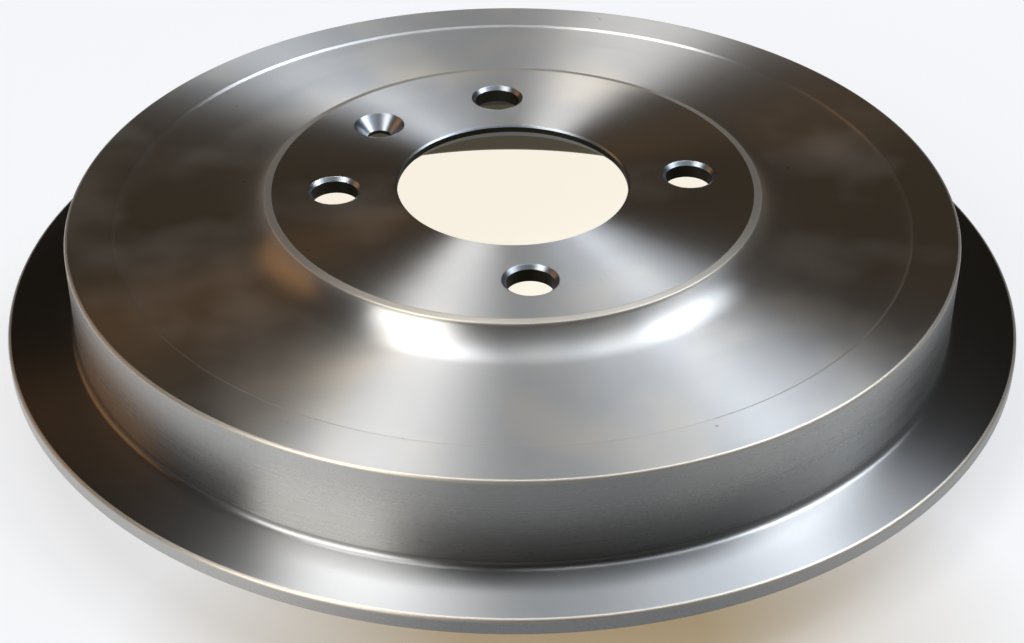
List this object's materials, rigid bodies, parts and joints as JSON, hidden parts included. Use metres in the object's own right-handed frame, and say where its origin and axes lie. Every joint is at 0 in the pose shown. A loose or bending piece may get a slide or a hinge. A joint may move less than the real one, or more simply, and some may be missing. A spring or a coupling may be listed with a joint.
{
  "type": "brake drum",
  "caption": "Turned cast-iron brake drum with a raised wheel pad, centre bore, wheel-bolt holes, outer flange and open mouth.",
  "frame": {"origin": "centre of the open mouth's plane, on the drum's axis", "axes": "+Z along the axis towards the wheel face; +X through one wheel-bolt hole"},
  "size_m": [0.2872, 0.2872, 0.0555],
  "materials": {
    "turned_iron": "fine-turned bare iron, bright, with faint circular tool marks"
  },
  "bodies": {
    "root": {"brake_drum": "turned_iron"}
  },
  "joints": []
}
